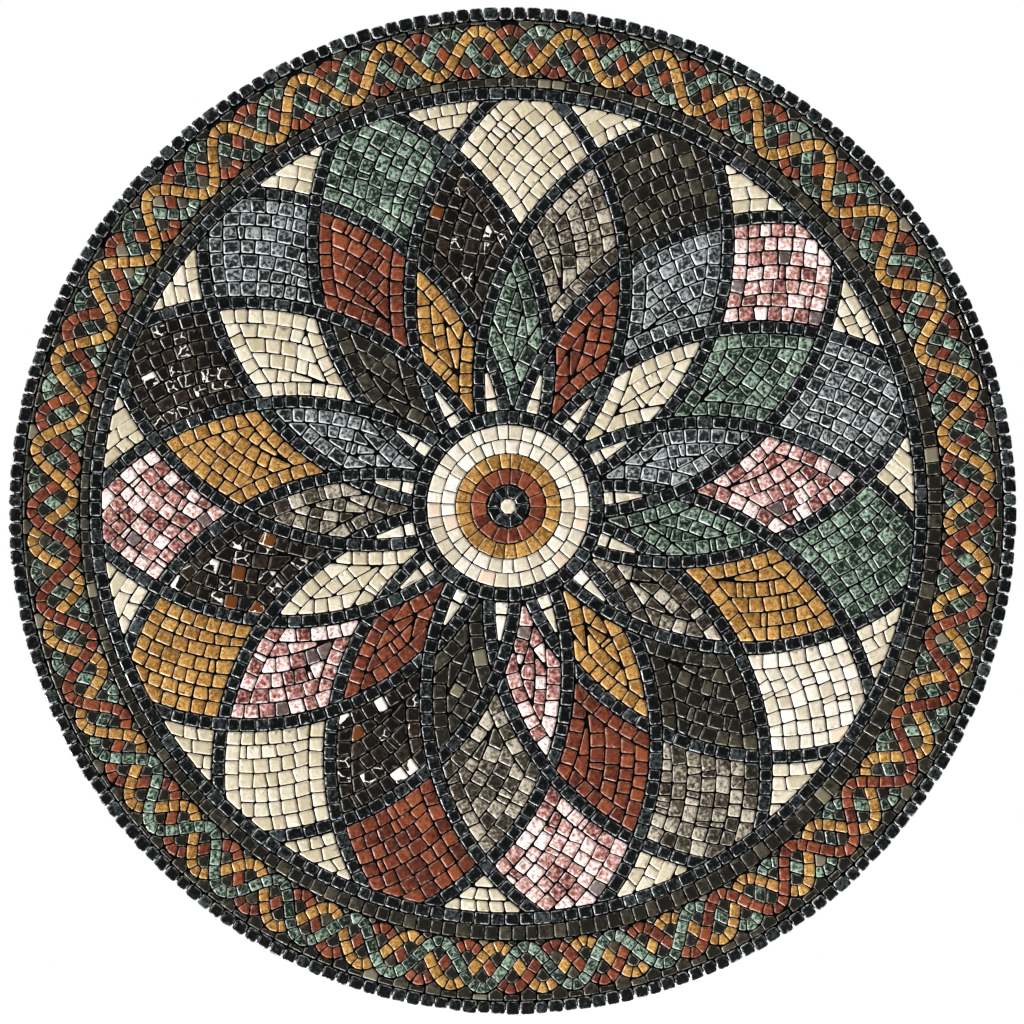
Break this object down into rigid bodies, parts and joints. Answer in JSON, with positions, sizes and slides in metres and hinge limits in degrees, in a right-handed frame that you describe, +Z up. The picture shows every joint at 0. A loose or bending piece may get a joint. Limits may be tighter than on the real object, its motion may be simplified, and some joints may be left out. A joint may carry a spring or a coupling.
{
  "type": "round mosaic panel",
  "caption": "Round decorative mosaic panel of tumbled marble tesserae on a mortar bed, with an interlaced petal rosette, a ringed central roundel and a braided border.",
  "frame": {"origin": "centre of the flat back of the setting bed", "axes": "+Z up as the panel hangs, +Y out of the back into the wall, +X to the right as seen from the front; the face looks towards -Y"},
  "size_m": [0.76, 0.018, 0.76],
  "materials": {
    "mortar": "matt cement mortar, trowelled",
    "black_marble": "charcoal black marble, tumbled and scuffed grey at the arrises",
    "white_marble": "warm white marble, tumbled",
    "cream_marble": "cream limestone marble, tumbled",
    "ochre_marble": "golden ochre marble with small pits, tumbled",
    "red_marble": "terracotta red marble, tumbled",
    "green_marble": "mottled sage green marble, tumbled",
    "slate_marble": "blue-grey marble, tumbled and scuffed",
    "taupe_marble": "taupe to beige marble, tumbled",
    "pink_marble": "pink marble mottled from pale rose to brick, tumbled",
    "olive_marble": "dark olive brown marble, tumbled",
    "umber_marble": "dark brown marble with white and rust veins, tumbled"
  },
  "bodies": {
    "root": {"black_courses": "black_marble", "border_ground": "olive_marble", "cream_gussets": "cream_marble", "leaf_01": "green_marble", "leaf_02": "red_marble", "leaf_03": "cream_marble", "leaf_04": "slate_marble", "leaf_05": "green_marble", "leaf_06": "taupe_marble", "leaf_07": "ochre_marble", "leaf_08": "pink_marble", "leaf_09": "olive_marble", "leaf_10": "red_marble", "leaf_11": "cream_marble", "leaf_12": "taupe_marble", "leaf_13": "slate_marble", "leaf_14": "olive_marble", "leaf_15": "ochre_marble", "middle_petal_01": "taupe_marble", "middle_petal_02": "slate_marble", "middle_petal_03": "green_marble", "middle_petal_04": "pink_marble", "middle_petal_05": "ochre_marble", "middle_petal_06": "olive_marble", "middle_petal_07": "red_marble", "middle_petal_08": "taupe_marble", "middle_petal_09": "umber_marble", "middle_petal_10": "pink_marble", "middle_petal_11": "umber_marble", "middle_petal_12": "ochre_marble", "middle_petal_13": "cream_marble", "middle_petal_14": "red_marble", "middle_petal_15": "umber_marble", "outer_petal_01": "cream_marble", "outer_petal_02": "olive_marble", "outer_petal_03": "pink_marble", "outer_petal_04": "slate_marble", "outer_petal_05": "green_marble", "outer_petal_06": "white_marble", "outer_petal_07": "taupe_marble", "outer_petal_08": "pink_marble", "outer_petal_09": "red_marble", "outer_petal_10": "cream_marble", "outer_petal_11": "ochre_marble", "outer_petal_12": "pink_marble", "outer_petal_13": "umber_marble", "outer_petal_14": "slate_marble", "outer_petal_15": "green_marble", "rim_course": "black_marble", "roundel_black": "black_marble", "roundel_centre": "white_marble", "roundel_ochre": "ochre_marble", "roundel_red": "red_marble", "roundel_white": "white_marble", "setting_bed": "mortar", "strand_green": "green_marble", "strand_ochre": "ochre_marble", "strand_red": "red_marble", "white_slivers": "white_marble"}
  },
  "joints": []
}
